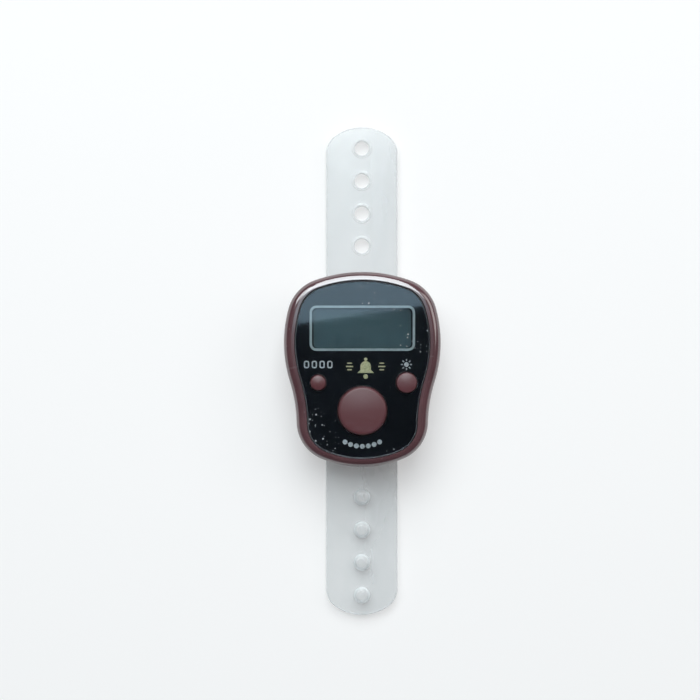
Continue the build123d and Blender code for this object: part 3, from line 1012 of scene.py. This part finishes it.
def sunMark():
    bm = bmesh.new()
    form = sunForm
    button = middle("light_button")
    centre = (button.x, button.y + form["above"])
    dot(bm, form["core"], centre)
    for index in range(form["rays"]):
        turn = math.tau * index / form["rays"]
        x = centre[0] - form["rayReach"] * math.sin(turn)
        y = centre[1] + form["rayReach"] * math.cos(turn)
        bar(bm, form["rayWidth"], form["rayLength"], turn, (x, y))
    printed("sun_mark", bm, "paleInk")


beadForm = {
    "beads": 7,
    "radius": 0.44,
    "reach": 6.45,
    "step": 0.168,
    "thread": 0.16,
    "clear": 0.02,
    "threadSteps": 4,
}


def threadStrip(bm, hub, start, sweep):
    form = beadForm
    aim = Vector((math.sin(start), -math.cos(start), 0))
    inner = bm.verts.new(hub + aim * (form["reach"] - form["thread"] / 2))
    outer = lineOn(bm, inner, aim * form["thread"])
    geom = [inner, outer] + edgesOf([inner])
    bmesh.ops.spin(bm, geom=geom, cent=hub, axis=(0, 0, 1), angle=sweep, steps=form["threadSteps"])


def beadMarks():
    # a row of counting beads on a thread, on an arc below the count button
    bm = bmesh.new()
    form = beadForm
    button = middle("count_button")
    hub = Vector((button.x, button.y, inkLow))
    half = form["radius"] / form["reach"] + form["clear"]
    for index in range(form["beads"]):
        turn = (index - (form["beads"] - 1) / 2) * form["step"]
        x = hub.x + form["reach"] * math.sin(turn)
        y = hub.y - form["reach"] * math.cos(turn)
        dot(bm, form["radius"], (x, y))
        if index:
            threadStrip(bm, hub, turn - form["step"] + half, form["step"] - 2 * half)
    printed("bead_marks", bm, "paleInk")


bellForm = {
    "place": (0.6, 0.55),
    "dome": 0.95,
    "domeSteps": 12,
    "skirt": 1.5,
    "wall": 0.62,
    "flare": 0.55,
    "knob": 0.3,
    "knobGap": 0.04,
    "clapper": 0.42,
    "clapperGap": 0.22,
    "dashWidths": (0.845, 1.3, 0.845),
    "dashLine": 0.22,
    "dashReach": 2.9,
    "dashStep": 0.58,
}


def bellMark():
    # a bell between two sets of dashes
    bm = bmesh.new()
    form = bellForm
    start = bm.verts.new((0, form["dome"], inkLow))
    shoulder = arcOn(bm, start, (0, 0, inkLow), -math.pi / 2, form["domeSteps"])
    waist = lineOn(bm, shoulder, (0, -form["wall"], 0))
    hem = lineOn(bm, waist, (form["skirt"] - form["dome"], -form["flare"], 0))
    lineOn(bm, hem, (-form["skirt"], 0, 0))
    filled(bm, mirrored(bm, bm.verts[:], "X"))
    low = -form["wall"] - form["flare"]
    dot(bm, form["knob"], (0, form["dome"] + form["knobGap"] + form["knob"]))
    dot(bm, form["clapper"], (0, low - form["clapperGap"] - form["clapper"]))
    for side in (-1, 1):
        for step, width in enumerate(form["dashWidths"], -1):
            bar(bm, width, form["dashLine"], 0, (side * form["dashReach"], step * form["dashStep"]))
    bmesh.ops.translate(bm, verts=bm.verts[:], vec=(*form["place"], 0))
    printed("bell_mark", bm, "goldInk")


for mark in (windowBorder, zeroMarks, sunMark, beadMarks, bellMark):
    mark()
print("printed marks made")


# floor, light and camera

stageForm = {
    "floorSize": 1.5,
    "floor": (0.89, 0.86, 0.845, 1.0),
    "tooth": 900,
    "glow": 0.4,
    "fadeFrom": 0.12,
    "fadeTo": 0.7,
    "sky": (0.7, 0.85, 1.0, 1.0),
    "ambient": 0.06,
    "whiteTo": 0.02,
    "dimFrom": 0.3,
}


def seenRays(s):
    # 1 on rays from the camera, and 1 on those that a gloss or a glass sends on
    kinds = ("Is Camera Ray", "Is Glossy Ray", "Is Transmission Ray")
    camera, glossy, through = [s.node("LightPath", out=kind) for kind in kinds]
    return camera, (glossy + through) > 0.5


def floorPaper(s):
    form = stageForm
    paper = s.surface(
        baseColor=form["floor"],
        roughness=0.9,
        normal=s.bump(s.noise(form["tooth"], detail=3), depth=0.02 * mm, strength=0.2),
    )
    glow = s.node("Emission", None, {"Color": white, "Strength": 1.0})
    share = s.fit(s.reach(s.coords()), form["fadeFrom"], form["fadeTo"], form["glow"], 1.0)
    camera, sentOn = seenRays(s)
    return s.node("MixShader", None, {0: (camera + sentOn) * share, 1: paper, 2: glow})


def makeFloor():
    bm = bmesh.new()
    bmesh.ops.create_grid(bm, x_segments=1, y_segments=1, size=stageForm["floorSize"])
    mesh = bpy.data.meshes.new("floor")
    bm.to_mesh(mesh)
    bm.free()
    mesh.materials.append(finish("floorPaper", floorPaper))
    floor = bpy.data.objects.new("floor", mesh)
    bpy.context.scene.collection.objects.link(floor)


def makeWorld():
    world = bpy.data.worlds.new("studio")
    world.use_nodes = True
    bpy.context.scene.world = world
    s = Shader(world.node_tree)
    # gloss and glass see a white horizon under a dim ceiling
    rise = s.node("SeparateXYZ", None, {0: s.node("TexCoord", out="Generated")}, out=2)
    horizon = s.fit(rise, stageForm["whiteTo"], stageForm["dimFrom"], 1.0, 0.0)
    camera, sentOn = seenRays(s)
    seen = camera + sentOn * horizon
    strength = s.fit(seen, 0, 1, stageForm["ambient"], 1.0)
    colour = s.mix(seen, stageForm["sky"], white)
    sky = s.node("Background", None, {"Color": colour, "Strength": strength})
    s.node("OutputWorld", None, {"Surface": sky})


lamps = {
    "window": {
        "lean": 34,
        "turn": 0,
        "distance": 0.8,
        "size": (0.44, 0.7),
        "power": 6.3,
        "colour": (0.9, 0.97, 1),
    },
    "shoulder": {
        "lean": 36,
        "turn": 44,
        "distance": 0.8,
        "size": (0.28, 0.3),
        "power": 1.5,
        "colour": (0.9, 0.97, 1),
    },
    "ceiling": {
        "lean": 11,
        "turn": 8,
        "distance": 1.0,
        "size": (0.3, 0.32),
        "power": 0.5,
        "colour": (0.66, 0.9, 1),
    },
    "side": {
        "lean": 46,
        "turn": -66,
        "distance": 0.9,
        "size": (0.46, 0.5),
        "power": 1.5,
        "colour": (1, 0.97, 0.95),
    },
}


def makeLamp(name, lean, turn, distance, size, power, colour):
    # leaning from the zenith towards +Y, then turned about the vertical
    light = bpy.data.lights.new(name, "AREA")
    light.shape = "RECTANGLE"
    light.size, light.size_y = size
    light.energy = power
    light.color = colour
    lamp = bpy.data.objects.new(name, light)
    swing = Matrix.Rotation(math.radians(turn), 4, "Z") @ Matrix.Rotation(-math.radians(lean), 4, "X")
    lamp.matrix_world = swing @ Matrix.Translation((0, 0, distance))
    lamp.visible_camera = False
    bpy.context.scene.collection.objects.link(lamp)


cameraForm = {
    "distance": 250 * mm,
    "perPixel": 0.1806 * mm,
    "frame": 700,
    "casePixel": (362.3, 369.45),
    "aimHeight": 11.6 * mm,
    "sensor": 36.0,
    "clipStart": 10 * mm,
}


def makeCamera():
    # straight above, with the case on its own pixel of the frame
    form = cameraForm
    data = bpy.data.cameras.new("photoCamera")
    data.sensor_width = form["sensor"]
    data.lens = form["sensor"] * form["distance"] / (form["frame"] * form["perPixel"])
    data.clip_start = form["clipStart"]
    x = (form["frame"] / 2 - form["casePixel"][0]) * form["perPixel"]
    y = (form["casePixel"][1] - form["frame"] / 2) * form["perPixel"]
    camera = bpy.data.objects.new("photoCamera", data)
    camera.location = (x, y, form["aimHeight"] + form["distance"])
    bpy.context.scene.collection.objects.link(camera)
    bpy.context.scene.camera = camera


makeFloor()
makeWorld()
for name, lamp in lamps.items():
    makeLamp(name, **lamp)
makeCamera()
bpy.context.scene.view_settings.view_transform = "Standard"
print("stage made")
